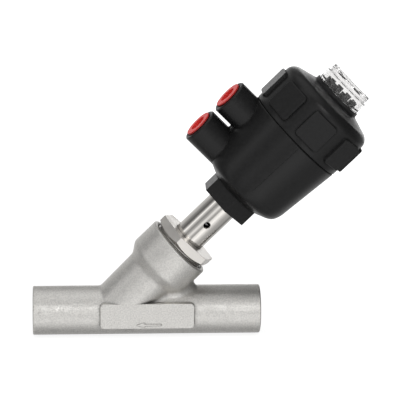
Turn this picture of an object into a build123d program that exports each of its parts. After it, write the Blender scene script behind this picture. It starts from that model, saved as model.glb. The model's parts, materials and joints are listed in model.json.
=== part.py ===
from build123d import *
from math import cos, radians
import os

# Pneumatic angle seat valve, butt-weld body, normally closed by spring.
# Row frame: origin at the centre of the outlet weld face, +X along the pipe towards the
# inlet, +Z up. Millimetres throughout.
# Spindle frame: every piece but the pipe run is turned about the spindle, so it is drawn
# with Z up the spindle from the point where the two axes cross, X down and to the inlet
# side, Y as in the row frame. The air ports point along the spindle frame's -X.

# ---------------------------------------------------------------- driving dimensions
PIPE_R = 13.45  # 26.9 mm outside, nominal size 20
PIPE_WALL = 1.6  # at the weld ends
PIPE_LENGTH = 125.0
PASSAGE_R = 11.4  # cast passage between the machined weld ends
CROSS_X = 44.0  # outlet face to the spindle axis
SPINDLE_TILT = 45.0
WELD_END = {"outlet": 24.0, "inlet": 45.0}  # machined length of each end's bore

NECK_R_LOW = 14.3
NECK_R_TOP = 15.1
NECK_BORE_R = 12.4
CREASE_R = 3.0  # casting radius where neck and pipe meet
NECK_TOP = 30.3
BOSS_R = 19.05
BOSS_START = 36.0
BOSS_TOP = 51.7
THREAD_R = 16.0
GASKET_SEAT = 40.0
GASKET_T = 0.8

SEAT_BORE_R = 9.5
SEPTUM_LOW = -2.2
SEPTUM_TOP = 0.5
SEAT_TOP = 1.5
SEAT_LAND_R = 10.9

PLATE_LENGTH = 51.6
PLATE_HEIGHT = 14.3
PLATE_Z = 0.7
PLATE_FACE = 14.4  # distance of the face from the pipe axis plane
PLATE_CORNER = 2.2

NUT_AF = 33.0
NUT_LOW = 53.5
NUT_TOP = 58.8
NUT_TURN = -22.0
TUBE_R = 9.05
TUBE_BORE_R = 7.6
TUBE_LOW = 46.0
TUBE_TOP = 102.8
WEEP_U = 71.8
WEEP_R = 1.6

SPINDLE_R = 4.0
SPINDLE_LOW = 6.0
PISTON_STUD_R = 3.0
RUN = 0.05  # radial clearance of running fits
FIT = 0.03  # clearance between pieces that are fixed together

HEX_AF = 27.8
HEX_LOW = 85.1
HEX_TOP = 95.0
HOUSING_FLOOR = 101.0
CYLINDER_R = 24.0
PARTING = 139.8
SPIGOT_R = 26.8
SPIGOT_TOP = 146.0
COVER_R = 29.3
COVER_BORE_R = 24.3
COVER_CEILING = 160.0
RIM_TOP = 171.5
RIM_R = 14.9
HEAD_TURN = -3.0  # the head as it stands, turned on the guide tube
PAD_COUNT = 8
PAD_FLAT = 30.15
PAD_WIDTH = 16.0
PAD_LOW = 143.2
PAD_HIGH = 160.2

PORT_R = 10.35
PORT_FACE = 41.5
PORT_BORE_R = 5.9
PORT_DEPTH = 10.5
WEB_FACE = 28.5  # web that closes the root of the gap between the ports
PORTS = {"lower": 107.1, "upper": 129.35}
GALLERY = {"lower": 105.0, "upper": 130.5}

PISTON_LOW = 110.5
PISTON_TOP = 117.5
PISTON_R = 23.5
CAP_R = 14.1
CAP_LOW = 171.6
CAP_STEP = 178.4
CAP_TOP = 182.7
CROWN_R = 10.7
CROWN_WALL = 0.85
CROWN_TOP = 175.4
CROWN_TEETH = 10
CROWN_GAP = 2.6

SPINDLE_FRAME = Location((CROSS_X, 0, 0), (0, SPINDLE_TILT, 0))
PIPE_BORE_R = PIPE_R - PIPE_WALL

os.makedirs("parts", exist_ok=True)


# ---------------------------------------------------------------- small helpers
def turned(points):
    """A solid turned about the spindle from (radius, height) corners."""
    face = make_face(Polyline([(r, 0, u) for r, u in points], close=True))
    return revolve(face, Axis.Z)


def ring(r_in, r_out, low, high):
    """A plain ring or tube."""
    return turned([(r_in, low), (r_out, low), (r_out, high), (r_in, high)])


def rod(radius, low, high):
    """A round bar on the spindle axis."""
    return Pos(0, 0, low) * Cylinder(radius, high - low, align=(Align.CENTER, Align.CENTER, Align.MIN))


def o_ring(mean_r, section_r, height):
    """A round-section seal."""
    return Pos(0, 0, height) * Torus(mean_r, section_r)


def hexagon(across_flats, low, high, turn=0.0):
    """A hexagonal block; at turn 0 one corner points to -Y."""
    outline = Rot(0, 0, turn - 90) * RegularPolygon(across_flats / 2, 6, major_radius=False)
    return extrude(Pos(0, 0, low) * outline, high - low)


def spring(mean_r, wire_r, low, high, turns):
    """A compression spring with a round wire."""
    rise = high - low - 2 * wire_r
    path = Pos(0, 0, low + wire_r) * Helix(rise / turns, rise, mean_r)
    start = Plane(path @ 0, x_dir=(0, 0, 1), z_dir=path % 0)
    return sweep(start * RegularPolygon(wire_r, 8), path, is_frenet=True)


def save(name, shape, placed=True):
    """Write one node, moved from the spindle frame to the row frame."""
    shape = SPINDLE_FRAME * shape if placed else shape
    solids = shape.solids()
    export_step(solids[0] if len(solids) == 1 else Compound(solids), f"parts/{name}.step")


# ---------------------------------------------------------------- cast body
def at_corner(shape, r, u):
    """Corners of a section that lie at radius r and height u."""
    return [v for v in shape.vertices() if abs(v.X - r) < 0.01 and abs(v.Z - u) < 0.01]


def neck_and_boss():
    """Inclined neck with rounded shoulders, and the boss that takes the bonnet."""
    section = make_face(Polyline([(0, 0, -6.0), (NECK_R_LOW - 2.5, 0, -6.0), (NECK_R_LOW, 0, 0),
                                  (NECK_R_TOP, 0, NECK_TOP), (BOSS_R, 0, BOSS_START),
                                  (BOSS_R, 0, BOSS_TOP), (0, 0, BOSS_TOP)], close=True))
    shoulders = at_corner(section, NECK_R_TOP, NECK_TOP) + at_corner(section, BOSS_R, BOSS_START)
    section = fillet(shoulders, 4.0)
    section = fillet(at_corner(section, NECK_R_LOW, 0), 6.0)
    section = fillet(at_corner(section, BOSS_R, BOSS_TOP), 0.9)
    return revolve(section, Axis.Z)


def label_pad():
    """Flat pad on the side of the pipe, with rounded corners and soft edges."""
    outline = Rot(90, 0, 0) * RectangleRounded(PLATE_LENGTH, PLATE_HEIGHT, PLATE_CORNER)
    pad = extrude(Pos(PIPE_LENGTH / 2, -PLATE_FACE, PLATE_Z) * outline, 6.0, dir=(0, 1, 0))
    return fillet(pad.faces().sort_by(Axis.Y)[0].edges(), 0.4)


def body_outside():
    """Pipe run, inclined neck blended into it, boss and label pad."""
    run = Pos(PIPE_LENGTH / 2, 0, 0) * Rot(0, 90, 0) * Cylinder(PIPE_R, PIPE_LENGTH)
    run = fillet(run.edges().filter_by(GeomType.CIRCLE), 0.7)
    branched = run + SPINDLE_FRAME * neck_and_boss()
    crease = [e for e in branched.edges() if e.geom_type == GeomType.BSPLINE]
    return fillet(crease, CREASE_R) + label_pad()


def body_inside():
    """Flow passages either side of the seat, the neck bore and the bonnet thread."""
    half = 90.0
    below = Pos(0, 0, SEPTUM_LOW - half) * Box(2 * half, half, 2 * half)
    above = Pos(0, 0, SEPTUM_TOP + half) * Box(2 * half, half, 2 * half)
    along = Rot(0, 90, 0)
    bore = Pos(PIPE_LENGTH / 2, 0, 0) * along * Cylinder(PASSAGE_R, PIPE_LENGTH + 2)
    passages = (bore & SPINDLE_FRAME * below) + (bore & SPINDLE_FRAME * above)
    outlet, inlet = WELD_END["outlet"], WELD_END["inlet"]
    ends = Pos(outlet / 2 - 1, 0, 0) * along * Cylinder(PIPE_BORE_R, outlet + 2)
    ends += Pos(PIPE_LENGTH - inlet / 2 + 1, 0, 0) * along * Cylinder(PIPE_BORE_R, inlet + 2)
    neck = turned([(SEAT_LAND_R, SEAT_TOP), (SEAT_LAND_R, SEPTUM_TOP), (NECK_BORE_R, SEPTUM_TOP),
                   (NECK_BORE_R, GASKET_SEAT), (THREAD_R, GASKET_SEAT), (THREAD_R, BOSS_TOP - 0.9),
                   (THREAD_R + 0.9, BOSS_TOP), (THREAD_R + 0.9, BOSS_TOP + 1), (0, BOSS_TOP + 1),
                   (0, SEAT_TOP)])
    seat = rod(SEAT_BORE_R, SEPTUM_LOW - 2, SEAT_TOP + 1)
    return passages + ends + SPINDLE_FRAME * (neck + seat)


def valve_body():
    """The investment casting, with the raised seat land left standing on the septum."""
    land = SPINDLE_FRAME * ring(SEAT_BORE_R, SEAT_LAND_R, SEPTUM_LOW + 0.5, SEAT_TOP)
    return body_outside() - body_inside() + land


# ---------------------------------------------------------------- bonnet and guide tube
def bonnet_nut():
    """Screwed bonnet: threaded spigot, undercut and chamfered hexagon."""
    spigot = turned([(5.2, GASKET_SEAT + GASKET_T), (THREAD_R - FIT, GASKET_SEAT + GASKET_T),
                     (THREAD_R - FIT, BOSS_TOP - 1.2), (14.9, BOSS_TOP - 0.6), (14.9, NUT_LOW - 0.6),
                     (16.2, NUT_LOW), (16.2, NUT_LOW + 0.4), (5.2, NUT_LOW + 0.4)])
    corner = NUT_AF / 2 / cos(radians(30))
    chamfer = turned([(0, NUT_LOW), (16.3, NUT_LOW), (corner + 0.3, NUT_LOW + 1.75),
                      (corner + 0.3, NUT_TOP - 0.35), (corner - 0.35, NUT_TOP), (0, NUT_TOP)])
    head = hexagon(NUT_AF, NUT_LOW, NUT_TOP, NUT_TURN) & chamfer
    socket = rod(TUBE_R + FIT, TUBE_LOW, NUT_TOP + 1)
    gland = rod(TUBE_BORE_R, GASKET_SEAT + 2.0, TUBE_LOW + 1)
    return spigot + head - socket - gland - rod(5.2, 30, 70)


def guide_tube():
    """Stainless tube between the bonnet and the actuator, with its weep hole."""
    tube = turned([(TUBE_BORE_R, TUBE_LOW), (TUBE_R, TUBE_LOW), (TUBE_R, HOUSING_FLOOR + 0.25),
                   (TUBE_R - 0.6, HOUSING_FLOOR + 0.25), (TUBE_R - 0.6, HOUSING_FLOOR + 1.4),
                   (TUBE_R, HOUSING_FLOOR + 1.4), (TUBE_R, TUBE_TOP), (TUBE_BORE_R, TUBE_TOP)])
    weep = Pos(0, -TUBE_R, WEEP_U) * Rot(90, 0, 0) * Cylinder(WEEP_R, 4)
    sink = Pos(0, -TUBE_R + 0.2, WEEP_U) * Rot(90, 0, 0) * Cone(WEEP_R, WEEP_R + 0.6, 0.8)
    return tube - weep - sink


def packing_rings():
    """Stack of chevron rings round the spindle; each rests in the one below."""
    stack = []
    for i in range(5):
        low = 51.6 + 2.0 * i
        middle = (SPINDLE_R + TUBE_BORE_R) / 2
        stack.append(turned([(SPINDLE_R + RUN, low), (middle, low + 1.1), (TUBE_BORE_R - FIT, low),
                             (TUBE_BORE_R - FIT, low + 1.95), (middle, low + 3.0),
                             (SPINDLE_R + RUN, low + 1.95)]))
    return Compound(stack)


def guide_bush(low, high):
    """Plain bush that carries the spindle."""
    bore, outside = SPINDLE_R + RUN, TUBE_BORE_R - FIT
    return turned([(bore, low), (outside - 0.3, low), (outside, low + 0.3), (outside, high - 0.3),
                   (outside - 0.3, high), (bore, high)])


# ---------------------------------------------------------------- spindle group
def spindle():
    """Ground spindle with the stud that carries the piston."""
    low = SPINDLE_LOW
    return turned([(0, low), (SPINDLE_R - 0.5, low), (SPINDLE_R, low + 0.5), (SPINDLE_R, PISTON_LOW),
                   (PISTON_STUD_R, PISTON_LOW), (PISTON_STUD_R, 124.0), (PISTON_STUD_R - 0.5, 124.5),
                   (0, 124.5)])


def plug_holder():
    """Disc that backs the seat seal, with its hub and the threaded end below."""
    holder = turned([(0, -4.0), (2.6, -4.0), (3.0, -3.6), (3.0, 4.6), (10.2, 4.6), (10.2, 3.6),
                     (11.5, 3.6), (11.5, 6.6), (10.9, 7.2), (7.6, 8.0), (6.6, 9.2), (6.6, 13.4),
                     (6.0, 14.0), (SPINDLE_R + FIT, 14.0), (SPINDLE_R + FIT, 5.9), (0, 5.9)])
    return holder - Pos(0, 0, 11.0) * Rot(90, 0, 0) * Cylinder(1.25 + FIT, 16)


def plug_pin():
    """Cross pin through the hub and the spindle."""
    return Pos(0, 0, 11.0) * Rot(90, 0, 0) * Cylinder(1.25, 12.6)


def piston():
    """Moulded piston: ribbed disc with a hub, a seal groove and a guide ring groove."""
    disc = turned([(PISTON_STUD_R + FIT, PISTON_LOW), (8.0, PISTON_LOW - 4.5), (8.0, PISTON_LOW + 1.5),
                   (19.5, PISTON_LOW + 1.5), (19.5, PISTON_LOW), (PISTON_R, PISTON_LOW),
                   (PISTON_R, PISTON_LOW + 0.8), (20.4, PISTON_LOW + 0.8), (20.4, PISTON_LOW + 4.0),
                   (PISTON_R, PISTON_LOW + 4.0), (PISTON_R, PISTON_LOW + 4.5), (22.2, PISTON_LOW + 4.5),
                   (22.2, PISTON_LOW + 6.3), (PISTON_R, PISTON_LOW + 6.3), (PISTON_R, PISTON_TOP),
                   (PISTON_STUD_R + FIT, PISTON_TOP)])
    shoulder = rod(SPINDLE_R + FIT, PISTON_LOW - 10, PISTON_LOW)
    ribs = [Rot(0, 0, 60 * i) * Pos(13.5, 0, PISTON_LOW + 0.6) * Box(12.0, 1.6, 1.8) for i in range(6)]
    return disc + ribs - shoulder


def lip_seal():
    """U-section seal with its lips towards the pressure side."""
    low, high, inner = PISTON_LOW + 0.85, PISTON_LOW + 3.95, 20.45
    outer = CYLINDER_R - RUN
    return turned([(inner, low), (inner + 0.9, low), (inner + 1.5, high - 1.2), (outer - 1.2, high - 1.2),
                   (outer - 0.7, low), (outer, low + 0.3), (outer - 0.4, high), (inner, high)])


# ---------------------------------------------------------------- actuator
def port(height):
    """One air connection: a round boss that points along -X."""
    boss = Pos(-PORT_FACE / 2 - 8, 0, height) * Rot(0, 90, 0) * Cylinder(PORT_R, PORT_FACE - 16)
    return chamfer(boss.edges().group_by(Axis.X)[0], 0.6)


def port_bore(height, gallery):
    """Connection thread and the small gallery into the cylinder."""
    bore = Pos(-PORT_FACE + PORT_DEPTH / 2 - 0.5, 0, height) * Rot(0, 90, 0) * Cylinder(
        PORT_BORE_R, PORT_DEPTH + 1)
    hole = Pos(-(PORT_FACE - PORT_DEPTH + CYLINDER_R) / 2, 0, gallery) * Rot(0, 90, 0) * Cylinder(
        1.6, PORT_FACE - PORT_DEPTH - CYLINDER_R + 2)
    return bore + hole


def housing_outline():
    """Outside of the lower housing: collar, bowl and tapered barrel."""
    with BuildLine(Plane.XZ) as line:
        Polyline((0, HEX_TOP - 0.4), (15.0, HEX_TOP - 0.4))
        Spline((15.0, HEX_TOP - 0.4), (19.5, 96.3), (23.4, 98.3), (26.4, 104.9),
               tangents=[(1, 0.15), (0.16, 1)])
        Polyline((26.4, 104.9), (29.25, PARTING - 0.7), (28.9, PARTING - 0.2), (SPIGOT_R, PARTING - 0.2),
                 (SPIGOT_R, SPIGOT_TOP), (0, SPIGOT_TOP), (0, HEX_TOP - 0.4))
    return revolve(make_face(line.line), Axis.Z)


def actuator_housing():
    """Glass-filled lower housing: hexagon collar, bowl, barrel and two air ports."""
    outside = housing_outline() + hexagon(HEX_AF, HEX_LOW, HEX_TOP + 3, HEAD_TURN)
    outside += [port(height) for height in PORTS.values()]
    between = (PORTS["lower"] + PORTS["upper"]) / 2
    outside += Pos(-WEB_FACE + 2.0, 0, between) * Box(4.0, 7.0, 3.2)
    bore = turned([(0, HEX_LOW - 1), (TUBE_R + RUN, HEX_LOW - 1), (TUBE_R + RUN, HOUSING_FLOOR),
                   (22.5, HOUSING_FLOOR), (CYLINDER_R, HOUSING_FLOOR + 1.5), (CYLINDER_R, SPIGOT_TOP + 1),
                   (0, SPIGOT_TOP + 1)])
    grooves = ring(TUBE_R, TUBE_R + 1.55, 88.9, 91.1) + ring(SPIGOT_R - 1.5, SPIGOT_R + 1, 141.9, 144.1)
    bores = [port_bore(PORTS[side], GALLERY[side]) for side in PORTS]
    return outside - bore - grooves - bores


def cover_outline():
    """Outside of the cover: skirt, rounded shoulder, shallow cone and the cap's rim."""
    with BuildLine(Plane.XZ) as line:
        Polyline((0, PARTING), (COVER_R - 0.4, PARTING), (COVER_R, PARTING + 0.4), (COVER_R, 161.0))
        Spline((COVER_R, 161.0), (28.6, 163.8), (26.4, 166.0), (23.6, 167.0),
               tangents=[(0, 1), (-1, 0.25)])
        Polyline((23.6, 167.0), (15.6, 169.4), (RIM_R, 169.9), (RIM_R, RIM_TOP), (0, RIM_TOP),
                 (0, PARTING))
    return revolve(make_face(line.line), Axis.Z)


def grip_pad(angle):
    """One flat raised pad of the strap-wrench grip round the cover."""
    height = PAD_HIGH - PAD_LOW
    face = Plane((0, -PAD_FLAT, PAD_LOW + height / 2), x_dir=(1, 0, 0), z_dir=(0, -1, 0))
    block = extrude(face * RectangleRounded(PAD_WIDTH, height, 1.8), -4.0)
    return Rot(0, 0, angle) * chamfer(block.faces().sort_by(Axis.Y)[0].edges(), 0.3)


def crown():
    """Castellated guide for the indicator head, seen through the cap."""
    wall = ring(CROWN_R - CROWN_WALL, CROWN_R, 164.0, CROWN_TOP)
    gap = Pos(CROWN_R, 0, CROWN_TOP) * Box(4.0, CROWN_GAP, 2 * (CROWN_TOP - RIM_TOP))
    return wall - [Rot(0, 0, HEAD_TURN + 360 * i / CROWN_TEETH) * gap for i in range(CROWN_TEETH)]


def actuator_cover():
    """Spring cover with eight grip pads, spring seat and the socket for the clear cap."""
    pads = [grip_pad(HEAD_TURN + 360 * i / PAD_COUNT) for i in range(PAD_COUNT)]
    inside = turned([(0, PARTING - 1), (SPIGOT_R + RUN, PARTING - 1), (SPIGOT_R + RUN, SPIGOT_TOP + 0.1),
                     (COVER_BORE_R, SPIGOT_TOP + 1.2), (COVER_BORE_R, COVER_CEILING - 2),
                     (COVER_BORE_R - 2, COVER_CEILING), (10.5, COVER_CEILING), (10.5, 166.0),
                     (12.5, 166.0), (12.5, RIM_TOP + 1), (0, RIM_TOP + 1)])
    return cover_outline() + pads - inside + crown()


def clear_cap():
    """Clear cap over the position indicator: screwed skirt, wall, waist and flat lid."""
    lid_r, waist_r = CAP_R - 0.8, CAP_R - 1.3
    return turned([(10.8, 166.3), (12.4, 166.3), (12.4, CAP_LOW), (CAP_R, CAP_LOW), (CAP_R, CAP_STEP - 0.3),
                   (CAP_R - 0.3, CAP_STEP), (waist_r, CAP_STEP + 0.1), (waist_r, CAP_STEP + 0.5),
                   (lid_r, CAP_STEP + 0.8), (lid_r, CAP_TOP - 1.3), (lid_r - 0.5, CAP_TOP - 0.4),
                   (lid_r - 1.6, CAP_TOP), (0, CAP_TOP), (0, CAP_TOP - 1.6), (8.5, CAP_TOP - 1.8),
                   (11.0, CAP_TOP - 2.6), (11.3, CAP_STEP + 0.2), (11.7, CAP_STEP - 0.8), (11.7, 173.4),
                   (10.8, 172.5)])


def port_plug(height):
    """Red transit plug: thin flange, hollow shank, closed at its inner end."""
    shank_r = PORT_BORE_R - RUN
    plug = turned([(0, 2.2), (4.6, 2.2), (4.6, 8.7), (7.85, 8.7), (7.85, 7.9), (7.6, 7.6 + 0.05),
                   (shank_r, 7.65), (shank_r, 1.2), (shank_r - 0.6, 0.4), (0, 0.4)])
    return Pos(-PORT_FACE + 7.6, 0, height) * Rot(0, -90, 0) * plug


def disc_seal():
    """Soft seat disc, let into the holder at its rim."""
    low = SEAT_TOP + 0.05
    return turned([(3.05, low), (10.9, low), (11.1, low + 0.2), (11.1, 3.5), (10.1, 3.5), (10.1, 4.55),
                   (3.05, 4.55)])


def indicator_head():
    """Black head of the position indicator, seen through the clear cap."""
    return turned([(0, 163.5), (8.6, 163.5), (9.6, 164.5), (9.6, 168.6), (8.2, 170.0), (0, 170.6)])


# ---------------------------------------------------------------- nodes
save("valve_body", valve_body(), placed=False)
save("bonnet_gasket", ring(13.2, THREAD_R - 0.15, GASKET_SEAT, GASKET_SEAT + GASKET_T))
save("bonnet_nut", bonnet_nut())
save("guide_tube", guide_tube())
save("wiper_ring", ring(SPINDLE_R + RUN, TUBE_BORE_R - FIT, 42.0, 44.0))
save("lower_guide_bush", guide_bush(44.0, 50.0))
save("lower_packing_washer", ring(SPINDLE_R + 0.1, TUBE_BORE_R - FIT, 50.0, 51.5))
save("packing_rings", packing_rings())
save("upper_packing_washer", ring(SPINDLE_R + 0.1, TUBE_BORE_R - FIT, 63.1, 64.3))
save("packing_spring", spring(5.95, 0.7, 64.3, 91.9, 7))
save("upper_guide_bush", guide_bush(92.0, 102.4))
save("housing_circlip", ring(TUBE_R - 0.55, 11.0, HOUSING_FLOOR + 0.3, HOUSING_FLOOR + 1.35))

save("spindle", spindle() - Pos(0, 0, 11.0) * Rot(90, 0, 0) * Cylinder(1.25 + FIT, 12))
save("plug_holder", plug_holder())
save("plug_pin", plug_pin())
save("disc_seal", disc_seal())
save("seal_washer", turned([(3.05, 0.3), (8.0, 0.3), (8.6, 0.9), (8.6, SEAT_TOP), (3.05, SEAT_TOP)]))
save("plug_nut", hexagon(10.0, -3.4, 0.25) - rod(3.05, -5, 2))
save("piston", piston())
save("piston_lip_seal", lip_seal())
save("piston_guide_ring", ring(22.25, CYLINDER_R - RUN, PISTON_LOW + 4.55, PISTON_LOW + 6.25))
save("piston_washer", ring(3.1, 7.0, PISTON_TOP, PISTON_TOP + 1.2))
save("piston_nut", hexagon(10.0, PISTON_TOP + 1.25, PISTON_TOP + 6.0) - rod(3.05, PISTON_TOP, 125))
save("outer_spring", spring(18.5, 1.6, PISTON_TOP + 0.05, COVER_CEILING - 0.05, 5))
save("inner_spring", spring(12.6, 1.1, PISTON_TOP + 0.05, COVER_CEILING - 0.05, 7))
save("indicator_rod", rod(2.5, 124.55, 163.4))
save("indicator_head", indicator_head())

save("actuator_housing", actuator_housing())
save("tube_o_ring", o_ring(TUBE_R + RUN + 0.75, 0.7, 90.0))
save("cover_o_ring", o_ring(SPIGOT_R - 0.72, 0.7, 143.0))
save("actuator_cover", actuator_cover())
save("clear_cap", clear_cap())
for side, height in PORTS.items():
    save(f"{side}_port_plug", port_plug(height))
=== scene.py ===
"""Looks of a pneumatic angle seat valve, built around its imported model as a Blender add-on.

Each operator makes one piece, or one group of like pieces, of the dressed valve. Sizes are in
metres and in the row frame: the pipe runs along +X, the spindle leans 45 degrees towards +X.
"""
import json
import math

import bpy
import numpy as np
from mathutils import Matrix, Vector


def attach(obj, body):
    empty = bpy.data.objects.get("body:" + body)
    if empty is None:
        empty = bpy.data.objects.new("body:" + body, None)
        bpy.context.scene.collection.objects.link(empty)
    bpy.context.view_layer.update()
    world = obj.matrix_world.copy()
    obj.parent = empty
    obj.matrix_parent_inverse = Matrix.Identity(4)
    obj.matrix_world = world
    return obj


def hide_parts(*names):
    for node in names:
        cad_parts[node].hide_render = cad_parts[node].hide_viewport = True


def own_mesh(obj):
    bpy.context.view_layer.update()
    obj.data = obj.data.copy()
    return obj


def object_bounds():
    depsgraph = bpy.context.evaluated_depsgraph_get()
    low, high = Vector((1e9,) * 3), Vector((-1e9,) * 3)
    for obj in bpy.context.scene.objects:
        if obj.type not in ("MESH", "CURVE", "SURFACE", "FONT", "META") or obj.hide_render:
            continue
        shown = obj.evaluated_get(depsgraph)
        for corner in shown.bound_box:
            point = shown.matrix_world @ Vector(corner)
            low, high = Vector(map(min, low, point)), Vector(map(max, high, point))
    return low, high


bl_info = {
    "name": "Angle seat valve",
    "version": (1, 0, 0),
    "blender": (4, 5, 0),
    "location": "3D View > Sidebar > Valve",
    "description": "Finishes and fine pieces of a pneumatic angle seat valve",
    "category": "Add Mesh",
}

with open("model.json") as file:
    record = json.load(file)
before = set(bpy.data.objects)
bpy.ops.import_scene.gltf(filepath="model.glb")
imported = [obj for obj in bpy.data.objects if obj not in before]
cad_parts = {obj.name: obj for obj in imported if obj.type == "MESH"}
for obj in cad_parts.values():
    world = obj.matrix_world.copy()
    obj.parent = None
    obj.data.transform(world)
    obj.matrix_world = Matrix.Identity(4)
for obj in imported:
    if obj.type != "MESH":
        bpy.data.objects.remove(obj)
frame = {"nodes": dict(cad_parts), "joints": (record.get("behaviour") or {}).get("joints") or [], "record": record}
MM = 0.001
CAD_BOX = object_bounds()


# ---------------------------------------------------------------- places read from the frame
def joint(name):
    """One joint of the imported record."""
    return next(j for j in frame["joints"] if j["name"] == name)


SPINDLE_DIR = np.array(joint("spindle_lift")["axis"], float)
SPINDLE_DIR /= np.linalg.norm(SPINDLE_DIR)
CROSSING = np.array(joint("actuator_turn")["pos_m"], float)
PORT_DIR = np.array(joint("lower_plug_pull")["axis"], float)
PORT_DIR /= np.linalg.norm(PORT_DIR)
FRONT_DIR = np.cross(SPINDLE_DIR, PORT_DIR)
STUDIO_DIR = np.array([0.05, -0.97, 0.22])
STUDIO_DIR /= np.linalg.norm(STUDIO_DIR)


def round_spindle(node):
    """A node's lowest and highest point along the spindle, and its inner and outer radius round it."""
    mesh = frame["nodes"][node].data
    points = np.zeros(len(mesh.vertices) * 3, np.float32)
    mesh.vertices.foreach_get("co", points)
    points = points.reshape(-1, 3) - CROSSING
    along = points @ SPINDLE_DIR
    away = np.linalg.norm(points - along[:, None] * SPINDLE_DIR, axis=1)
    return along.min(), along.max(), away.min(), away.max()


def to_row(local):
    """Row-frame points from spindle-frame ones: x away from the air ports, y to the back, z up the spindle."""
    basis = np.stack([-PORT_DIR, np.array([0.0, 1.0, 0.0]), SPINDLE_DIR])
    return np.asarray(local) @ basis + CROSSING


# ---------------------------------------------------------------- mesh helpers
def ring_faces(rings, columns):
    """Quads between neighbouring rings of points, each ring closed on itself."""
    i, j = np.meshgrid(np.arange(rings - 1), np.arange(columns), indexing="ij")
    here = i * columns + j
    beside = i * columns + (j + 1) % columns
    return np.stack([here, beside, beside + columns, here + columns], axis=-1).reshape(-1, 4)


def relief(across, top, under):
    """Closed sections of a raised line: over its top from -1 to 1, and back under it at one height."""
    top, under = np.broadcast_arrays(top, np.asarray(under, float))
    return (np.concatenate([across, across[:, ::-1]], axis=1),
            np.concatenate([top, under], axis=1))


def closed_bar(name, rings, body, slot):
    """A bar from closed sections, rings[i, j], with a flat cap on each end, riding on a CAD body.

    Each ring runs anticlockwise seen against the bar's direction, so that the faces point outwards.
    """
    count, columns = rings.shape[:2]
    first_cap = list(range(columns))[::-1]
    last_cap = list(range((count - 1) * columns, count * columns))
    faces = ring_faces(count, columns).tolist() + [first_cap, last_cap]
    mesh = bpy.data.meshes.new(name)
    mesh.from_pydata(rings.reshape(-1, 3).tolist(), [], faces)
    mesh.update()
    mesh.polygons.foreach_set("use_smooth", np.ones(len(mesh.polygons), bool))
    piece = bpy.data.objects.new(name, mesh)
    bpy.context.scene.collection.objects.link(piece)
    piece.data.materials.append(finish(slot))
    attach(piece, body)
    return piece


# ---------------------------------------------------------------- shader helpers
class Tree:
    """Short way to write a node tree: add nodes by type and join sockets."""

    def __init__(self, tree):
        self.tree = tree

    def math(self, operation, *values, **settings):
        """Result of a Math node."""
        node = self.add("ShaderNodeMath", dict(enumerate(values)), operation=operation, **settings)
        return node.outputs[0]

    def vector(self, operation, first, second):
        """Result of a Vector Math node: a vector, or a number for a dot product or a distance."""
        node = self.add("ShaderNodeVectorMath", {0: first, 1: tuple(second)}, operation=operation)
        return node.outputs["Value" if operation in ("DOT_PRODUCT", "DISTANCE") else "Vector"]

    def mapped(self, value, start, end, low, high, **settings):
        """A value stretched from the range start to end to the range low to high."""
        inputs = {0: value, 1: start, 2: end, 3: low, 4: high}
        return self.add("ShaderNodeMapRange", inputs, **settings).outputs[0]

    def mixed(self, share, first, second):
        """A number between two others."""
        return self.add("ShaderNodeMix", {0: share, 2: first, 3: second}).outputs[0]

    def rounded_normal(self, radius, samples=6):
        """The surface's normal as if its edges had a radius."""
        return self.add("ShaderNodeBevel", {"Radius": radius}, samples=samples).outputs[0]

    def add(self, kind, inputs=None, **settings):
        """A new node, with its inputs joined to sockets or set to values, and its settings."""
        node = self.tree.nodes.new(kind)
        for key, value in settings.items():
            setattr(node, key, value)
        for key, value in (inputs or {}).items():
            if isinstance(value, bpy.types.NodeSocket):
                self.tree.links.new(value, node.inputs[key])
            else:
                node.inputs[key].default_value = value
        return node

    def link(self, source, target):
        """Join two sockets."""
        self.tree.links.new(source, target)


GROUPS = {}


def shader_group(name, inputs, outputs):
    """A new node group with float inputs {name: default} and float outputs."""
    tree = bpy.data.node_groups.new(name, "ShaderNodeTree")
    for key, value in inputs.items():
        socket = tree.interface.new_socket(name=key, in_out="INPUT", socket_type="NodeSocketFloat")
        socket.default_value = value
    for key in outputs:
        tree.interface.new_socket(name=key, in_out="OUTPUT", socket_type="NodeSocketFloat")
    t = Tree(tree)
    entry = t.add("NodeGroupInput")
    leave = t.add("NodeGroupOutput")
    GROUPS[name] = tree
    return t, entry.outputs, leave.inputs


def place_group(t, name, **inputs):
    """Put a built group into a material with its own values."""
    return t.add("ShaderNodeGroup", {k.replace("_", " "): v for k, v in inputs.items()},
                 node_tree=GROUPS[name]).outputs


def build_grain():
    """Fine surface grain: two sizes of noise, as a height, and a mask for colour and roughness."""
    t, given, out = shader_group("grain", {"Size mm": 0.3, "Fine share": 0.6}, ("Height", "Mask"))
    place = t.add("ShaderNodeTexCoord").outputs["Object"]
    scale = t.math("DIVIDE", 1 / MM, given["Size mm"])
    fine = t.add("ShaderNodeTexNoise", {"Vector": place, "Scale": scale, "Detail": 2.0}).outputs["Fac"]
    wide_scale = t.math("MULTIPLY", scale, 0.17)  # the wide noise is about six times the fine one's size
    wide = t.add("ShaderNodeTexNoise", {"Vector": place, "Scale": wide_scale, "Detail": 3.0}).outputs["Fac"]
    t.link(t.mixed(given["Fine share"], wide, fine), out["Height"])
    t.link(wide, out["Mask"])


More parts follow.
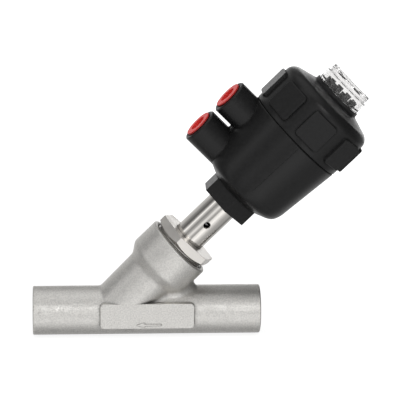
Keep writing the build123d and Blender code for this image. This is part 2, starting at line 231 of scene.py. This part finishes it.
def build_turning():
    """Lathe marks: fine rings round the spindle axis at uneven distances along it."""
    t, given, out = shader_group("turning", {"Pitch mm": 0.25, "Drift": 0.3}, ("Height", "Mask"))
    place = t.add("ShaderNodeTexCoord").outputs["Object"]
    along = t.vector("DOT_PRODUCT", t.vector("SUBTRACT", place, CROSSING), SPINDLE_DIR)
    drift = t.add("ShaderNodeTexNoise", {"Vector": place, "Scale": 60.0}).outputs["Fac"]
    drift = t.math("MULTIPLY", drift, given["Drift"])
    turns = t.math("DIVIDE", 1 / MM, given["Pitch mm"])
    phase = t.math("MULTIPLY_ADD", along, turns, drift)
    lines = t.add("ShaderNodeTexNoise", {"W": phase, "Scale": 1.0, "Detail": 2.0}, noise_dimensions="1D")
    t.link(lines.outputs["Fac"], out["Height"])
    blotch = t.add("ShaderNodeTexNoise", {"Vector": place, "Scale": 140.0, "Detail": 2.0}).outputs["Fac"]
    t.link(blotch, out["Mask"])


def build_edge_wear_and_highlight():
    """Mask of convex edges, from how a rounded normal departs from the true one: the black mouldings are painted
    paler there, partly as wear and partly as highlight.
    """
    t, given, out = shader_group("edge wear and painted highlight", {"Width mm": 0.4}, ("Mask",))
    soft = t.rounded_normal(t.math("MULTIPLY", given["Width mm"], MM))
    true = t.add("ShaderNodeNewGeometry").outputs["Normal"]
    same = t.add("ShaderNodeVectorMath", {0: soft, 1: true}, operation="DOT_PRODUCT").outputs["Value"]
    t.link(t.mapped(same, 0.995, 0.8, 0.0, 1.0), out["Mask"])


def build_painted_crease_shade():
    """Mask of hollows and creases, from how much of the surroundings a point is hidden from: the finishes use it
    to paint shade into their colours.
    """
    t, given, out = shader_group("painted crease shade", {"Reach mm": 2.0}, ("Mask",))
    reach = t.math("MULTIPLY", given["Reach mm"], MM)
    open_share = t.add("ShaderNodeAmbientOcclusion", {"Distance": reach}, samples=8).outputs["AO"]
    t.link(t.mapped(open_share, 0.95, 0.45, 0.0, 1.0), out["Mask"])


FINISHES = {}


def finish(slot):
    """The material of a slot, made the first time it is asked for."""
    if slot not in FINISHES:
        FINISHES[slot] = MAKERS[slot](slot)
    return FINISHES[slot]


def principled(name, **sockets):
    """A material with one Principled shader; spaces in socket names are written as underscores."""
    material = bpy.data.materials.new(name)
    material.use_nodes = True
    t = Tree(material.node_tree)
    shader = next(n for n in material.node_tree.nodes if n.type == "BSDF_PRINCIPLED")
    for key, value in sockets.items():
        shader.inputs[key.replace("_", " ")].default_value = value
    return material, t, shader


def tint(t, mask, dark, light):
    """Colour between two tones of a surface, by a mask."""
    mix = t.add("ShaderNodeMix", data_type="RGBA")
    t.link(mask, mix.inputs[0])
    mix.inputs[6].default_value = (*dark, 1.0)
    mix.inputs[7].default_value = (*light, 1.0)
    return mix.outputs[2]


def deepened(t, colour, mask, factor):
    """A colour multiplied by factor where the mask is 1."""
    mix = t.add("ShaderNodeMix", {0: mask, 6: colour, 7: (factor, factor, factor, 1.0)}, data_type="RGBA",
                blend_type="MULTIPLY")
    return mix.outputs[2]


def remap(t, mask, low, high, start=0.3, end=0.7):
    """A mask stretched to the range low to high, by default from the middle of a noise's range."""
    return t.mapped(mask, start, end, low, high)


def bump(t, shader, height, depth_mm, edge_mm=0.0):
    """Feed a height into the shader's normal, over edges rounded by a radius if one is given."""
    node = t.add("ShaderNodeBump", {"Strength": 1.0, "Distance": depth_mm * MM, "Height": height})
    if edge_mm:
        t.link(t.rounded_normal(edge_mm * MM), node.inputs["Normal"])
    t.link(node.outputs["Normal"], shader.inputs["Normal"])


def scaled(colour, factor):
    """A colour made darker or lighter."""
    return tuple(c * factor for c in colour[:3])


def blasted_steel(slot):
    """Bead-blasted stainless casting: metal with a fine even grain and a slight waviness, and shade painted into
    its creases.
    """
    colours = bpy.context.scene.valve_colours
    material, t, shader = principled(slot, Metallic=1.0)
    grain = place_group(t, "grain", Size_mm=0.8, Fine_share=0.85)
    painted_shade = place_group(t, "painted crease shade", Reach_mm=2.4)
    base = colours.cast_steel
    specks = remap(t, grain["Height"], 0.0, 1.0, start=0.36, end=0.64)
    speckled = tint(t, specks, scaled(base, 0.87), scaled(base, 1.07))
    # painted shade: the colour is darkened to about a quarter in creases and hollows
    t.link(deepened(t, speckled, painted_shade["Mask"], 0.26), shader.inputs["Base Color"])
    t.link(remap(t, grain["Mask"], 0.42, 0.54), shader.inputs["Roughness"])
    bump(t, shader, grain["Height"], depth_mm=0.16, edge_mm=0.4)
    return material


def turned_steel(slot, base, roughness, pitch_mm, depth_mm, edge_mm, painted_shade_factor):
    """Machined stainless with lathe marks and soft edges, and shade painted into its creases; the last argument is
    how much of the colour the creases keep under that painted shade.
    """
    material, t, shader = principled(slot, Metallic=1.0)
    marks = place_group(t, "turning", Pitch_mm=pitch_mm, Drift=0.6)
    painted_shade = place_group(t, "painted crease shade", Reach_mm=1.8)
    mottled = tint(t, remap(t, marks["Mask"], 0.0, 1.0), scaled(base, 0.94), scaled(base, 1.03))
    # painted shade: the colour is darkened in creases and hollows
    t.link(deepened(t, mottled, painted_shade["Mask"], painted_shade_factor), shader.inputs["Base Color"])
    t.link(remap(t, marks["Mask"], roughness * 0.85, roughness * 1.15), shader.inputs["Roughness"])
    bump(t, shader, marks["Height"], depth_mm, edge_mm)
    return material


def machined_steel(slot):
    """The hexagon bonnet and other machined pieces."""
    base = scaled(bpy.context.scene.valve_colours.bright_steel, 1.1)
    return turned_steel(slot, base, roughness=0.40, pitch_mm=0.22, depth_mm=0.004, edge_mm=0.15, painted_shade_factor=0.42)


def polished_steel(slot):
    """The guide tube and the spindle, fine ground."""
    base = scaled(bpy.context.scene.valve_colours.bright_steel, 0.94)
    return turned_steel(slot, base, roughness=0.11, pitch_mm=0.12, depth_mm=0.0015, edge_mm=0.1, painted_shade_factor=0.7)


def moulded_black(slot):
    """Glass-filled black plastic: satin, finely textured, with shade painted into its hollows, and paler on its
    edges, partly as wear and partly as painted highlight.
    """
    base = bpy.context.scene.valve_colours.black_plastic
    material, t, shader = principled(slot, Specular_IOR_Level=0.28)
    grain = place_group(t, "grain", Size_mm=0.3, Fine_share=0.75)
    edge_wear_and_highlight = place_group(t, "edge wear and painted highlight", Width_mm=0.35)
    painted_shade = place_group(t, "painted crease shade", Reach_mm=1.6)
    body = tint(t, remap(t, grain["Mask"], 0.0, 1.0), scaled(base, 0.85), scaled(base, 1.15))
    # painted shade: the colour is darkened to a quarter in hollows
    body = deepened(t, body, painted_shade["Mask"], 0.25)
    # paler edges: partly wear, partly a painted highlight
    wear_and_highlight_mix = t.add("ShaderNodeMix", data_type="RGBA")
    t.link(remap(t, edge_wear_and_highlight["Mask"], 0.0, 0.35, 0.0, 1.0), wear_and_highlight_mix.inputs[0])
    t.link(body, wear_and_highlight_mix.inputs[6])
    wear_and_highlight_mix.inputs[7].default_value = (*scaled(base, 2.2), 1.0)
    t.link(wear_and_highlight_mix.outputs[2], shader.inputs["Base Color"])
    satin = remap(t, grain["Mask"], 0.28, 0.35)
    t.link(t.mixed(painted_shade["Mask"], satin, 0.95), shader.inputs["Roughness"])
    bump(t, shader, grain["Height"], depth_mm=0.03, edge_mm=0.4)
    return material


def red_plastic(slot):
    """Soft red moulded plastic: smooth, a little light passes into it, and shade is painted into its hollows as a
    deeper red.
    """
    base = bpy.context.scene.valve_colours.red_plastic
    material, t, shader = principled(slot, Subsurface_Weight=0.05, Subsurface_Scale=0.0003,
                                     Specular_IOR_Level=0.5)
    grain = place_group(t, "grain", Size_mm=5.0, Fine_share=0.1)
    painted_shade = place_group(t, "painted crease shade", Reach_mm=4.0)
    colour = tint(t, remap(t, grain["Mask"], 0.0, 1.0), scaled(base, 0.96), scaled(base, 1.04))
    # painted shade: the colour is darkened to a quarter in hollows
    t.link(deepened(t, colour, painted_shade["Mask"], 0.25), shader.inputs["Base Color"])
    t.link(remap(t, grain["Mask"], 0.38, 0.44), shader.inputs["Roughness"])
    bump(t, shader, grain["Height"], depth_mm=0.002)
    return material


def clear_plastic(slot):
    """Clear moulded cap: slightly wavy walls, not quite colourless."""
    base = bpy.context.scene.valve_colours.clear_plastic
    material, t, shader = principled(slot, IOR=1.27, Transmission_Weight=0.97)
    grain = place_group(t, "grain", Size_mm=1.6, Fine_share=0.2)
    t.link(tint(t, grain["Mask"], scaled(base, 0.96), base[:3]), shader.inputs["Base Color"])
    t.link(remap(t, grain["Mask"], 0.008, 0.03), shader.inputs["Roughness"])
    bump(t, shader, grain["Height"], depth_mm=0.02, edge_mm=0.3)
    return material


def plain_finish(roughness, metallic, colour, size_mm, depth_mm):
    """A maker for an inner piece's finish: grain in colour, roughness and height."""
    def make(slot):
        material, t, shader = principled(slot, Metallic=metallic)
        grain = place_group(t, "grain", Size_mm=size_mm, Fine_share=0.6)
        t.link(tint(t, remap(t, grain["Mask"], 0.0, 1.0), scaled(colour, 0.85), scaled(colour, 1.1)),
               shader.inputs["Base Color"])
        t.link(remap(t, grain["Mask"], roughness * 0.9, roughness * 1.1), shader.inputs["Roughness"])
        bump(t, shader, grain["Height"], depth_mm)
        return material
    return make


MAKERS = {
    "cast_stainless": blasted_steel,
    "machined_stainless": machined_steel,
    "polished_stainless": polished_steel,
    "black_polyamide": moulded_black,
    "red_plastic": red_plastic,
    "clear_polycarbonate": clear_plastic,
    "ptfe_white": plain_finish(0.45, 0.0, (0.8, 0.8, 0.77), 0.4, 0.004),
    "packing_black": plain_finish(0.6, 0.0, (0.03, 0.03, 0.03), 0.3, 0.006),
    "seal_rubber": plain_finish(0.55, 0.0, (0.02, 0.02, 0.02), 0.4, 0.005),
    "spring_steel": plain_finish(0.32, 1.0, (0.34, 0.34, 0.35), 0.5, 0.003),
    "indicator_black": plain_finish(0.3, 0.0, (0.02, 0.02, 0.02), 0.5, 0.003),
    "bearing_bronze": plain_finish(0.5, 0.0, (0.32, 0.25, 0.15), 0.3, 0.004),
    "gasket_grey": plain_finish(0.7, 0.0, (0.12, 0.12, 0.125), 0.2, 0.01),
}


# ---------------------------------------------------------------- sizes and colours
def colour_property(name, description, default):
    """A colour setting."""
    return bpy.props.FloatVectorProperty(name=name, description=description, default=default, size=3,
                                         min=0.0, max=1.0, subtype="COLOR")


def length_property(name, description, default_mm):
    """A length setting, given in millimetres and kept in metres."""
    return bpy.props.FloatProperty(name=name, description=description, default=default_mm * MM,
                                   unit="LENGTH", subtype="DISTANCE", precision=5)


class ValveColours(bpy.types.PropertyGroup):
    """Colours of the finishes that show."""
    cast_steel: colour_property("Cast steel", "Bead-blasted casting", (0.80, 0.785, 0.755))
    bright_steel: colour_property("Bright steel", "Machined and ground steel", (0.74, 0.715, 0.68))
    black_plastic: colour_property("Black plastic", "Actuator mouldings", (0.010, 0.010, 0.0102))
    red_plastic: colour_property("Red plastic", "Transit plugs", (0.80, 0.035, 0.030))
    clear_plastic: colour_property("Clear plastic", "Indicator cap", (0.985, 0.98, 0.975))
    floor: colour_property("Floor", "Pale studio floor", (0.86, 0.86, 0.86))


class FlowArrowSizes(bpy.types.PropertyGroup):
    """The raised flow arrow on the label pad."""
    tip_x: length_property("Tip", "Tip's distance along the pipe from the outlet face", 56.4)
    length: length_property("Length", "Overall length", 14.0)
    head_length: length_property("Head length", "Length of the arrow head", 4.6)
    head_width: length_property("Head width", "Width of the arrow head", 3.2)
    shaft_width: length_property("Shaft width", "Width of the shaft", 1.2)
    relief: length_property("Relief", "Height over the pad", 0.5)
    sunk: length_property("Sunk", "Depth of its edges in the pad", 0.15)
    round_end: length_property("Round end", "Length over which the tail rounds off", 0.5)
    drop: length_property("Drop", "Distance below the pipe axis", 4.2)
    pad_face: length_property("Pad face", "Distance of the pad's face from the pipe axis", 14.4)


class SeamSizes(bpy.types.PropertyGroup):
    """The fine mould seams of the lower housing."""
    turn: bpy.props.FloatProperty(name="Turn", description="Seam's turn round the spindle from the front",
                                  default=math.radians(-2.5), subtype="ANGLE")
    low: length_property("Low end", "Height up the spindle where the seam starts", 104.9)
    high: length_property("High end", "Height up the spindle where the seam ends", 138.9)
    low_radius: length_property("Low radius", "Barrel's radius at the low end", 26.4)
    high_radius: length_property("High radius", "Barrel's radius at the high end", 29.23)
    width: length_property("Width", "Width of the seam", 0.5)
    relief: length_property("Relief", "Height over the wall", 0.10)
    sunk: length_property("Sunk", "Depth of its edges in the wall", 0.05)


class ThreadSizes(bpy.types.PropertyGroup):
    """The bonnet thread's last turns, seen in the gap under the hexagon."""
    low: length_property("Low end", "Height up the spindle where the thread starts", 50.2)
    high: length_property("High end", "Height up the spindle where the thread ends", 53.1)
    pitch: length_property("Pitch", "Distance between two turns", 1.5)
    root: length_property("Root radius", "Radius of the undercut that the thread stands on", 14.85)
    depth: length_property("Depth", "Height of the thread over its root", 0.95)
    sunk: length_property("Sunk", "Depth of its edges in the root", 0.1)


class SpringSizes(bpy.types.PropertyGroup):
    """The two closing springs; their diameters and wires come from the frame."""
    outer_turns: bpy.props.FloatProperty(name="Outer turns", description="Coils of the outer spring",
                                         default=5.5)
    inner_turns: bpy.props.FloatProperty(name="Inner turns", description="Coils of the inner spring",
                                         default=7.5)
    flat_turns: bpy.props.FloatProperty(name="Flat turns", description="Coils at each end that lie flat",
                                        default=0.8)


class StageSizes(bpy.types.PropertyGroup):
    """Where the camera stands and what it is aimed at."""
    azimuth: bpy.props.FloatProperty(name="Azimuth", description="Camera's turn from straight ahead",
                                     default=math.radians(-3.89), subtype="ANGLE")
    elevation: bpy.props.FloatProperty(name="Elevation", description="Camera's height angle",
                                       default=math.radians(16.15), subtype="ANGLE")
    roll: bpy.props.FloatProperty(name="Roll", description="Camera's roll", default=math.radians(0.757),
                                  subtype="ANGLE")
    distance: length_property("Distance", "Camera to the aim point", 1090.0)
    lens: bpy.props.FloatProperty(name="Lens", description="Focal length on a 36 mm sensor", default=180.0,
                                  unit="CAMERA")
    aim_x: length_property("Aim X", "Aim point from the crossing of the axes, along the pipe", 47.4)
    aim_z: length_property("Aim Z", "Aim point above the pipe axis", 62.66)


# ---------------------------------------------------------------- operators
class ValveOperator:
    """What the operators share."""
    bl_options = {"REGISTER", "UNDO"}


class VALVE_OT_finishes(ValveOperator, bpy.types.Operator):
    """Give every CAD node the finish of its material slot"""
    bl_idname = "valve.finishes"
    bl_label = "Finishes"

    def execute(self, context):
        for part in frame["record"]["subparts"]:
            node = frame["nodes"][part["node"]]
            node.data.materials.clear()
            node.data.materials.append(finish(part["material_slot"]))
        return {"FINISHED"}


class VALVE_OT_flow_arrow(ValveOperator, bpy.types.Operator):
    """Raised flow arrow on the body's label pad. Its half width grows along the head as the distance
    from the tip to a power, then stays at the shaft's. Across, its height is the square root of one
    less the distance from the middle to a power, a flattened dome, and its tail ends in a quarter round"""
    bl_idname = "valve.flow_arrow"
    bl_label = "Flow arrow"

    LENGTHWAYS, ACROSS = 60, 17     # points along the arrow and over its top
    HEAD_POWER, DOME_POWER = 0.8, 2.6
    TIP_WIDTH = 0.03 * MM

    def execute(self, context):
        sizes = context.scene.valve_arrow
        across = np.linspace(-1.0, 1.0, self.ACROSS)[None, :] + np.zeros((self.LENGTHWAYS, 1))
        along = np.linspace(0.0, sizes.length, self.LENGTHWAYS)[:, None]
        head = np.clip(along / sizes.head_length, 0.0, 1.0)
        half = np.where(head < 1.0, head ** self.HEAD_POWER * sizes.head_width / 2, sizes.shaft_width / 2)
        half = np.maximum(half, self.TIP_WIDTH)
        to_round = (1 - (sizes.length - along) / sizes.round_end).clip(0, 1)
        tail = np.sqrt(np.clip(1 - to_round ** 2, 0, 1))
        tip = np.minimum(1.0, head * 4 + 0.2)   # the first fifth of the head rises to full height
        dome = np.sqrt(1 - np.abs(across) ** self.DOME_POWER) * tail * tip
        across, height = relief(across, (sizes.relief + sizes.sunk) * dome - sizes.sunk, -2 * sizes.sunk)
        rings = np.stack([sizes.tip_x + along + 0 * height, -sizes.pad_face - height,
                          -sizes.drop - half * across], axis=-1)
        closed_bar("flow_arrow", rings, "valve", "cast_stainless")
        return {"FINISHED"}


class VALVE_OT_mould_seams(ValveOperator, bpy.types.Operator):
    """Fine seams down the front and the back of the lower housing: a ridge whose height is half a
    cosine wave across, carried up the tapered barrel, whose radius grows evenly with height"""
    bl_idname = "valve.mould_seams"
    bl_label = "Mould seams"

    LENGTHWAYS, ACROSS = 90, 11     # points up a seam and over its top
    RUN_OUT = 1.0 * MM              # length over which each end sinks into the wall

    def execute(self, context):
        sizes = context.scene.valve_seam
        across = np.linspace(-1.0, 1.0, self.ACROSS)[None, :] + np.zeros((self.LENGTHWAYS, 1))
        share = np.linspace(0.0, 1.0, self.LENGTHWAYS)[:, None]
        up = sizes.low + share * (sizes.high - sizes.low)
        ends = np.clip(np.minimum(up - sizes.low, sizes.high - up) / self.RUN_OUT, 0.0, 1.0)
        ridge = (sizes.relief + sizes.sunk) * np.cos(across * np.pi / 2) * ends - sizes.sunk
        across, height = relief(across, ridge, -2 * sizes.sunk)
        radius = sizes.low_radius + share * (sizes.high_radius - sizes.low_radius) + height
        for name, turn in (("front_seam", sizes.turn), ("back_seam", sizes.turn + math.pi)):
            angle = turn + across * sizes.width / 2 / sizes.high_radius
            rings = np.stack([radius * np.sin(angle), -radius * np.cos(angle), up + 0 * radius], axis=-1)
            closed_bar(name, to_row(rings), "head", "black_polyamide")
        return {"FINISHED"}


class VALVE_OT_bonnet_thread(ValveOperator, bpy.types.Operator):
    """Last turns of the bonnet's thread, in the gap under its hexagon: a ridge on a helix of even
    climb, whose height is the distance from its edge to a power, and which fades out at both ends"""
    bl_idname = "valve.bonnet_thread"
    bl_label = "Bonnet thread"

    PER_TURN, ACROSS = 160, 9       # points round one turn and over the ridge
    RIDGE_POWER = 0.7
    FADE = 0.9                      # radians over which each end fades
    HALF_WIDTH = 0.42               # half the ridge's width, in pitches

    def execute(self, context):
        sizes = context.scene.valve_thread
        turns = (sizes.high - sizes.low) / sizes.pitch
        around = np.linspace(0.0, 2 * np.pi * turns, int(self.PER_TURN * turns))[:, None]
        across = np.linspace(-1.0, 1.0, self.ACROSS)[None, :] + 0 * around
        fade = np.clip(np.minimum(around, around[-1] - around) / self.FADE, 0.0, 1.0)
        ridge = (sizes.depth + sizes.sunk) * fade * (1 - np.abs(across)) ** self.RIDGE_POWER - sizes.sunk
        across, height = relief(across, ridge, -2 * sizes.sunk)
        radius = sizes.root + height
        up = sizes.low + around / (2 * np.pi) * sizes.pitch - across * sizes.pitch * self.HALF_WIDTH
        rings = np.stack([radius * np.sin(around), -radius * np.cos(around), up], axis=-1)
        closed_bar("bonnet_thread", to_row(rings), "valve", "machined_stainless")
        return {"FINISHED"}


class VALVE_OT_closing_springs(ValveOperator, bpy.types.Operator):
    """Coiled closing springs: a circle of the wire's radius carried along a helix that lies flat at
    both ends and climbs evenly between them, cut off flat at top and bottom"""
    bl_idname = "valve.closing_springs"
    bl_label = "Closing springs"

    PER_TURN, AROUND = 56, 14       # points along one coil and round the wire
    GROUND = 0.55                   # height of the end coils' middle over the flat, in wire radii

    def execute(self, context):
        sizes = context.scene.valve_springs
        for name, turns in (("outer_spring", sizes.outer_turns), ("inner_spring", sizes.inner_turns)):
            low, high, inner, outer = round_spindle(name)
            wire = (outer - inner) / 2
            turn = np.linspace(0.0, turns, int(turns * self.PER_TURN))[:, None]
            round_wire = np.linspace(0.0, 2 * np.pi, self.AROUND, endpoint=False)[None, :]
            climb = np.clip((turn - sizes.flat_turns) / (turns - 2 * sizes.flat_turns), 0.0, 1.0)
            middle = low + self.GROUND * wire + climb * (high - low - 2 * self.GROUND * wire)
            radius = (inner + outer) / 2 + wire * np.cos(round_wire)
            up = np.clip(middle - wire * np.sin(round_wire), low, high)
            angle = 2 * np.pi * turn
            rings = np.stack([radius * np.sin(angle), -radius * np.cos(angle), up], axis=-1)
            spring = closed_bar(f"coiled_{name}", to_row(rings), "head", "spring_steel")
            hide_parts(name)
            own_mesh(spring)
        return {"FINISHED"}


class VALVE_OT_stage(ValveOperator, bpy.types.Operator):
    """Floor, backdrop light, lamps and the camera"""
    bl_idname = "valve.stage"
    bl_label = "Stage"

    def execute(self, context):
        scene = context.scene
        scene.view_settings.view_transform = "Standard"
        self.camera(scene)
        self.world(scene)
        self.floor(scene)
        self.lamps(scene)
        return {"FINISHED"}

    def camera(self, scene):
        """A long lens turned by azimuth, elevation and roll about its aim point."""
        sizes = scene.valve_stage
        away = Vector((math.sin(sizes.azimuth) * math.cos(sizes.elevation),
                       -math.cos(sizes.azimuth) * math.cos(sizes.elevation), math.sin(sizes.elevation)))
        right = Vector((math.cos(sizes.azimuth), math.sin(sizes.azimuth), 0.0))
        up = away.cross(right)
        cos_r, sin_r = math.cos(sizes.roll), math.sin(sizes.roll)
        turned_right = right * cos_r + up * sin_r
        turned_up = up * cos_r - right * sin_r
        aim = Vector(CROSSING) + Vector((sizes.aim_x, 0.0, sizes.aim_z))
        data = bpy.data.cameras.new("camera")
        data.lens = sizes.lens
        data.sensor_width = 36.0
        data.clip_end = 20.0
        camera = bpy.data.objects.new("camera", data)
        pose = Matrix((turned_right, turned_up, away)).transposed().to_4x4()
        pose.translation = aim + away * sizes.distance
        camera.matrix_world = pose
        scene.collection.objects.link(camera)
        scene.camera = camera

    # brightness that metal mirrors, round the spindle: 0 and 1 behind it, 0.25 on the air ports' side,
    # 0.5 in front, 0.75 away from the ports
    ROUND_STOPS = ((0.000, 1.05), (0.056, 0.75), (0.136, 0.60), (0.192, 0.30), (0.236, 0.16), (0.261, 0.18),
                   (0.286, 0.55), (0.311, 1.45), (0.336, 0.75), (0.375, 0.34), (0.411, 0.52), (0.444, 1.10),
                   (0.475, 0.66), (0.506, 0.44), (0.536, 1.20), (0.575, 1.40), (0.614, 1.00), (0.647, 0.66),
                   (0.686, 0.52), (0.731, 0.46), (0.783, 0.26), (0.858, 0.62), (0.944, 0.75), (1.000, 1.05))
    # the same along the spindle, from straight down it (0) to straight up it (1)
    ALONG_STOPS = ((0.00, 0.60), (0.25, 0.85), (0.42, 1.00), (0.52, 0.85), (0.60, 0.50), (0.67, 0.38),
                   (0.75, 0.38), (0.82, 0.20), (1.00, 0.15))
    # a dark flag and three soft boxes: direction, cosine where each starts and where it is full,
    # strength, how it acts
    SOFT_BOXES = (((0.63, 0.72, 0.29), 0.88, 0.98, 0.05, "MULTIPLY"),
                  ((0.13, -0.89, 0.44), 0.96, 0.997, 3.2, "ADD"),
                  ((0.0, 0.0, 1.0), 0.68, 0.97, 0.75, "ADD"),
                  ((0.27, 0.96, -0.07), 0.92, 0.99, 1.2, "ADD"))

    def world(self, scene):
        """White to the camera; a frontal studio as light; soft boxes and a flag in reflections."""
        world = bpy.data.worlds.new("studio")
        scene.world = world
        world.use_nodes = True
        world.node_tree.nodes.clear()
        t = Tree(world.node_tree)
        path = t.add("ShaderNodeLightPath").outputs
        way = t.add("ShaderNodeTexCoord").outputs["Generated"]
        facing = t.vector("DOT_PRODUCT", way, STUDIO_DIR)
        studio = t.mapped(facing, -0.8, 0.9, 0.30, 0.95, interpolation_type="SMOOTHSTEP")
        mirrored = t.math("GREATER_THAN", path["Glossy Depth"], 0.5)
        lit = t.mixed(mirrored, studio, self.reflections(t, way))
        seen = t.math("MAXIMUM", path["Is Camera Ray"], path["Is Transmission Ray"])
        # what shows through the clear cap after a reflection is a little less white
        seen = t.math("MULTIPLY_ADD", mirrored, -0.3, seen, use_clamp=True)
        strength = t.mixed(seen, lit, 1.0)
        back = t.add("ShaderNodeBackground", {"Color": (1, 1, 1, 1), "Strength": strength}).outputs[0]
        t.link(back, t.add("ShaderNodeOutputWorld").inputs["Surface"])

    def reflections(self, t, way):
        """Brightness of the studio as shiny pieces mirror it, by direction."""
        to_ports = t.vector("DOT_PRODUCT", way, PORT_DIR)
        to_front = t.vector("DOT_PRODUCT", way, FRONT_DIR)
        angle = t.math("ARCTAN2", to_ports, to_front)
        round_place = t.mapped(angle, math.pi, -math.pi, 0.0, 1.0)
        along_place = t.mapped(t.vector("DOT_PRODUCT", way, SPINDLE_DIR), -1.0, 1.0, 0.0, 1.0)
        strips = self.ramp(t, round_place, self.ROUND_STOPS)
        lengthwise = self.ramp(t, along_place, self.ALONG_STOPS)
        boxes = t.math("MULTIPLY", strips, lengthwise)
        for direction, starts, full, strength, kind in self.SOFT_BOXES:
            no_change = float(kind == "MULTIPLY")
            glow = t.mapped(t.vector("DOT_PRODUCT", way, direction), starts, full, no_change, strength,
                            interpolation_type="SMOOTHSTEP")
            boxes = t.math(kind, boxes, glow)
        return boxes

    def ramp(self, t, value, stops):
        """A value sent through a colour ramp of grey stops (place, brightness)."""
        node = t.add("ShaderNodeValToRGB", {0: value})
        ramp = node.color_ramp
        while len(ramp.elements) < len(stops):
            ramp.elements.new(0.5)
        for element, (place, grey) in zip(ramp.elements, stops):
            element.position = place
            element.color = (grey, grey, grey, 1.0)
        ramp.interpolation = "EASE"
        return node.outputs[0]

    FLOOR_RADIUS = 1.2              # metres
    FLOOR_GAP = 0.4 * MM            # between the valve's lowest point and the floor
    FLOOR_RINGS = (0.0, 0.05, 0.15, 0.35, 0.7, 1.0)  # shares of the radius
    FLOOR_AROUND = 96               # points round each ring

    def floor(self, scene):
        """A pale round floor just under the valve, which can't be seen from below."""
        z = float(CAD_BOX[0][2]) - self.FLOOR_GAP
        angles = np.linspace(0, 2 * np.pi, self.FLOOR_AROUND, endpoint=False)[None, :]
        radii = np.array(self.FLOOR_RINGS)[:, None] * self.FLOOR_RADIUS
        points = np.stack([CROSSING[0] + radii * np.cos(angles), radii * np.sin(angles),
                           z + 0 * radii * angles], axis=-1)
        faces = ring_faces(len(self.FLOOR_RINGS), self.FLOOR_AROUND)[:, ::-1]
        mesh = bpy.data.meshes.new("floor")
        mesh.from_pydata(points.reshape(-1, 3).tolist(), [], faces.tolist())
        mesh.update()
        mesh.materials.append(self.pale_floor(scene, (float(CROSSING[0]), 0.0, z)))
        floor = bpy.data.objects.new("floor", mesh)
        scene.collection.objects.link(floor)

    def pale_floor(self, scene, centre):
        """Matt and pale, with a white glow for the camera that grows outwards into the background.

        Shiny pieces don't mirror it, and its under side is clear.
        """
        material = bpy.data.materials.new("pale floor")
        material.use_nodes = True
        material.node_tree.nodes.clear()
        t = Tree(material.node_tree)
        path = t.add("ShaderNodeLightPath").outputs
        place = t.add("ShaderNodeTexCoord").outputs["Object"]
        speckle = t.add("ShaderNodeTexNoise", {"Scale": 300.0, "Vector": place}).outputs["Fac"]
        pale = tuple(scene.valve_colours.floor)
        colour = tint(t, speckle, scaled(pale, 0.99), pale)
        matt = t.add("ShaderNodeBsdfDiffuse", {"Color": colour}).outputs[0]
        glow = t.add("ShaderNodeEmission", {"Color": (1, 1, 1, 1), "Strength": 1.4}).outputs[0]
        white = t.mapped(t.vector("DISTANCE", place, centre), 0.15, 0.4, 0.60, 1.0)
        share = t.math("MULTIPLY", path["Is Camera Ray"], white)
        pale_top = t.add("ShaderNodeMixShader", {0: share, 1: matt, 2: glow}).outputs[0]
        clear = t.add("ShaderNodeBsdfTransparent").outputs[0]
        under = t.add("ShaderNodeNewGeometry").outputs["Backfacing"]
        unseen = t.math("MAXIMUM", path["Is Glossy Ray"], under)
        surface = t.add("ShaderNodeMixShader", {0: unseen, 1: pale_top, 2: clear}).outputs[0]
        t.link(surface, t.add("ShaderNodeOutputMaterial").inputs["Surface"])
        return material

    # square lamps: name, place from their aim, side, power
    LAMPS = (("key", (-0.10, -1.00, 0.60), 0.9, 2.0),
             ("top", (0.25, -0.30, 1.0), 0.7, 0.5))
    LAMP_AIM = (0.045, 0.0, 0.06)   # the valve's middle, from the crossing of the axes

    def lamps(self, scene):
        """Two large soft lamps that shiny pieces don't mirror: a key in front, and one overhead."""
        aim = Vector(CROSSING) + Vector(self.LAMP_AIM)
        for name, place, size, power in self.LAMPS:
            data = bpy.data.lights.new(name, "AREA")
            data.shape = "SQUARE"
            data.size = size
            data.energy = power
            lamp = bpy.data.objects.new(name, data)
            lamp.visible_glossy = False
            lamp.location = aim + Vector(place)
            lamp.rotation_euler = (-Vector(place)).to_track_quat("-Z", "Y").to_euler()
            scene.collection.objects.link(lamp)


class VALVE_PT_panel(bpy.types.Panel):
    """Operators and sizes of the valve, in the sidebar"""
    bl_idname = "VALVE_PT_panel"
    bl_label = "Angle seat valve"
    bl_space_type = "VIEW_3D"
    bl_region_type = "UI"
    bl_category = "Valve"

    def draw(self, context):
        for operator in OPERATORS:
            self.layout.operator(operator.bl_idname)
        for group in GROUPS_OF_SIZES:
            settings = getattr(context.scene, group)
            for key in settings.__annotations__:
                self.layout.prop(settings, key)


OPERATORS = (VALVE_OT_finishes, VALVE_OT_flow_arrow, VALVE_OT_mould_seams, VALVE_OT_bonnet_thread,
             VALVE_OT_closing_springs, VALVE_OT_stage)
GROUPS_OF_SIZES = {"valve_colours": ValveColours, "valve_arrow": FlowArrowSizes, "valve_seam": SeamSizes,
                   "valve_thread": ThreadSizes, "valve_springs": SpringSizes, "valve_stage": StageSizes}


def register():
    """Make the operators, the panel and the settings known to Blender."""
    for kind in (*GROUPS_OF_SIZES.values(), *OPERATORS, VALVE_PT_panel):
        bpy.utils.register_class(kind)
    for name, kind in GROUPS_OF_SIZES.items():
        setattr(bpy.types.Scene, name, bpy.props.PointerProperty(type=kind))


def unregister():
    """Take them away again."""
    for name in GROUPS_OF_SIZES:
        delattr(bpy.types.Scene, name)
    for kind in (VALVE_PT_panel, *reversed(OPERATORS), *reversed(list(GROUPS_OF_SIZES.values()))):
        bpy.utils.unregister_class(kind)


def main():
    """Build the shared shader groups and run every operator."""
    register()
    for build in (build_grain, build_turning, build_edge_wear_and_highlight, build_painted_crease_shade):
        build()
    for operator in OPERATORS:
        area, name = operator.bl_idname.split(".")
        getattr(getattr(bpy.ops, area), name)()


if __name__ == "__main__":
    main()
